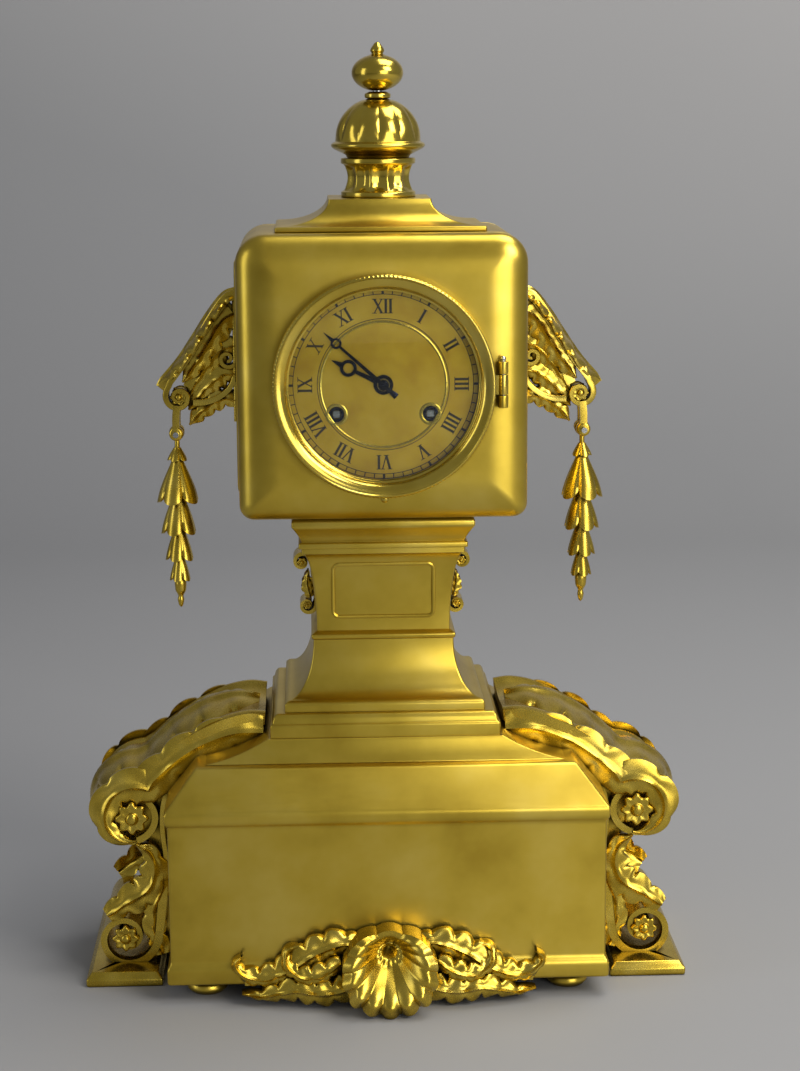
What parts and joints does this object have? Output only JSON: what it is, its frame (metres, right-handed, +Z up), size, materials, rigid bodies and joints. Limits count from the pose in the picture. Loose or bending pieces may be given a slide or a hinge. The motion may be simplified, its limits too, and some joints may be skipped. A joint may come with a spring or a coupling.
{
  "type": "lantern clock",
  "caption": "Gilt brass mantel clock: square lantern case on a waisted pedestal and a broad scrolled base, with side handles, hanging husk drops and an urn finial.",
  "frame": {"origin": "middle of the base's footprint on the surface it stands on", "axes": "+Z up, the dial faces -Y, +X to the right as seen from the front"},
  "size_m": [0.256, 0.1541, 0.392],
  "materials": {
    "gilt_brass": "satin gilt brass with darker patina in the hollows",
    "gilt_ornament": "cast and chased gilt bronze ornament",
    "polished_brass": "polished lacquered brass",
    "gilt_dial": "matted gilt dial with dark engraved numerals",
    "blued_hand": "dark blued steel hand",
    "movement_brass": "planished movement brass",
    "steel": "polished tool steel",
    "spring_steel": "blued spring steel",
    "bell_metal": "turned bell metal",
    "glass": "clear flat glass"
  },
  "bodies": {
    "clock": {"base_block": "gilt_brass", "base_plate": "gilt_brass", "feet": "gilt_brass", "apron_mount": "gilt_ornament", "side_scroll_left": "gilt_ornament", "side_scroll_right": "gilt_ornament", "plinth": "gilt_brass", "pedestal": "gilt_brass", "pedestal_brackets": "gilt_ornament", "collar": "gilt_brass", "case_wrap": "gilt_brass", "case_front": "gilt_brass", "case_back": "gilt_brass", "roof": "gilt_brass", "finial_stem": "polished_brass", "finial_urn": "polished_brass", "finial_ball": "polished_brass", "handle_left": "gilt_ornament", "handle_right": "gilt_ornament", "tie_rods": "steel", "screws": "steel", "hinge_pins": "steel", "dial": "gilt_dial", "dial_ring": "movement_brass", "movement_posts": "steel", "front_plate": "movement_brass", "back_plate": "movement_brass", "pillars": "steel", "suspension_cock": "movement_brass", "clicks": "steel", "bell": "bell_metal", "bell_stand": "steel"},
    "bezel_door": {"bezel": "polished_brass", "front_glass": "glass"},
    "rear_door": {"back_door": "polished_brass", "back_glass": "glass"},
    "left_drop": {"drop_left": "gilt_ornament"},
    "right_drop": {"drop_right": "gilt_ornament"},
    "minute_arbor": {"center_wheel": "movement_brass", "cannon_pinion": "steel", "minute_hand": "blued_hand"},
    "hour_pipe": {"hour_wheel": "movement_brass", "hour_hand": "blued_hand"},
    "minute_wheel_body": {"minute_wheel": "movement_brass"},
    "intermediate_arbor": {"intermediate_wheel": "movement_brass"},
    "third_arbor": {"third_wheel": "movement_brass"},
    "escape_arbor": {"escape_wheel": "movement_brass"},
    "going_barrel_body": {"going_barrel": "movement_brass", "going_mainspring": "spring_steel"},
    "going_winder": {"going_winding_arbor": "steel"},
    "strike_winder": {"strike_winding_arbor": "steel"},
    "strike_barrel_body": {"strike_barrel": "movement_brass", "strike_mainspring": "spring_steel"},
    "strike_second_arbor": {"strike_second_wheel": "movement_brass"},
    "pin_arbor": {"pin_wheel": "movement_brass"},
    "fly_arbor": {"fly": "steel"},
    "hammer_body": {"hammer": "steel"},
    "pendulum": {"pendulum_rod": "steel", "pendulum_bob": "movement_brass"},
    "anchor_body": {"anchor": "steel"}
  },
  "joints": [
    {"name": "bezel_hinge", "type": "hinge", "parent": "clock", "child": "bezel_door", "pos_m": [0.048, -0.0496, 0.256], "axis": [0, 0, 1], "range_deg": [0, 110]},
    {"name": "rear_door_hinge", "type": "hinge", "parent": "clock", "child": "rear_door", "pos_m": [0.048, 0.0496, 0.256], "axis": [0, 0, -1], "range_deg": [0, 110]},
    {"name": "left_drop_swing", "type": "hinge", "parent": "clock", "child": "left_drop", "pos_m": [-0.086, 0, 0.231], "axis": [0, 1, 0], "range_deg": [-12, 12]},
    {"name": "right_drop_swing", "type": "hinge", "parent": "clock", "child": "right_drop", "pos_m": [0.086, 0, 0.231], "axis": [0, 1, 0], "range_deg": [-12, 12]},
    {"name": "minute_turn", "type": "hinge", "parent": "clock", "child": "minute_arbor", "pos_m": [0, 0, 0.256], "axis": [0, 1, 0], "continuous": true},
    {"name": "hour_turn", "type": "hinge", "parent": "clock", "child": "hour_pipe", "pos_m": [0, 0, 0.256], "axis": [0, 1, 0], "continuous": true},
    {"name": "minute_wheel_turn", "type": "hinge", "parent": "clock", "child": "minute_wheel_body", "pos_m": [0, 0, 0.244], "axis": [0, 1, 0], "continuous": true},
    {"name": "intermediate_turn", "type": "hinge", "parent": "clock", "child": "intermediate_arbor", "pos_m": [0.00026, 0, 0.2398], "axis": [0, 1, 0], "continuous": true},
    {"name": "third_turn", "type": "hinge", "parent": "clock", "child": "third_arbor", "pos_m": [0.00782, 0, 0.26882], "axis": [0, 1, 0], "continuous": true},
    {"name": "escape_turn", "type": "hinge", "parent": "clock", "child": "escape_arbor", "pos_m": [0, 0, 0.28], "axis": [0, 1, 0], "continuous": true},
    {"name": "going_barrel_turn", "type": "hinge", "parent": "clock", "child": "going_barrel_body", "pos_m": [0.019, 0, 0.244], "axis": [0, 1, 0], "continuous": true},
    {"name": "going_winding", "type": "hinge", "parent": "clock", "child": "going_winder", "pos_m": [0.019, 0, 0.244], "axis": [0, 1, 0], "continuous": true},
    {"name": "strike_winding", "type": "hinge", "parent": "clock", "child": "strike_winder", "pos_m": [-0.019, 0, 0.244], "axis": [0, 1, 0], "continuous": true},
    {"name": "strike_barrel_turn", "type": "hinge", "parent": "clock", "child": "strike_barrel_body", "pos_m": [-0.019, 0, 0.244], "axis": [0, 1, 0], "continuous": true},
    {"name": "strike_second_turn", "type": "hinge", "parent": "clock", "child": "strike_second_arbor", "pos_m": [-0.0155, 0, 0.26288], "axis": [0, 1, 0], "continuous": true},
    {"name": "pin_wheel_turn", "type": "hinge", "parent": "clock", "child": "pin_arbor", "pos_m": [-0.01302, 0, 0.27625], "axis": [0, 1, 0], "continuous": true},
    {"name": "fly_turn", "type": "hinge", "parent": "clock", "child": "fly_arbor", "pos_m": [-0.0216, 0, 0.2812], "axis": [0, 1, 0], "continuous": true},
    {"name": "hammer_lift", "type": "hinge", "parent": "clock", "child": "hammer_body", "pos_m": [-0.031, 0, 0.261], "axis": [0, -1, 0], "range_deg": [0, 15], "stiffness_Nm_per_rad": 0.02, "springref_deg": -8.59},
    {"name": "pendulum_swing", "type": "hinge", "parent": "clock", "child": "pendulum", "pos_m": [0, 0, 0.2925], "axis": [0, 1, 0], "range_deg": [-4, 4]},
    {"name": "anchor_rock", "type": "hinge", "parent": "clock", "child": "anchor_body", "pos_m": [0, 0, 0.2925], "axis": [0, 1, 0], "range_deg": [-4, 4]}
  ],
  "couplings": [
    {"joint": "hour_turn", "follows": "minute_turn", "ratio": 0.083333},
    {"joint": "minute_wheel_turn", "follows": "minute_turn", "ratio": -0.33333},
    {"joint": "intermediate_turn", "follows": "minute_turn", "ratio": -0.2},
    {"joint": "going_barrel_turn", "follows": "minute_turn", "ratio": 0.028571},
    {"joint": "third_turn", "follows": "minute_turn", "ratio": -12},
    {"joint": "escape_turn", "follows": "minute_turn", "ratio": 144},
    {"joint": "strike_barrel_turn", "follows": "strike_second_turn", "ratio": -0.14286},
    {"joint": "pin_wheel_turn", "follows": "strike_second_turn", "ratio": -9},
    {"joint": "fly_turn", "follows": "strike_second_turn", "ratio": 90},
    {"joint": "anchor_rock", "follows": "pendulum_swing", "ratio": 1}
  ]
}
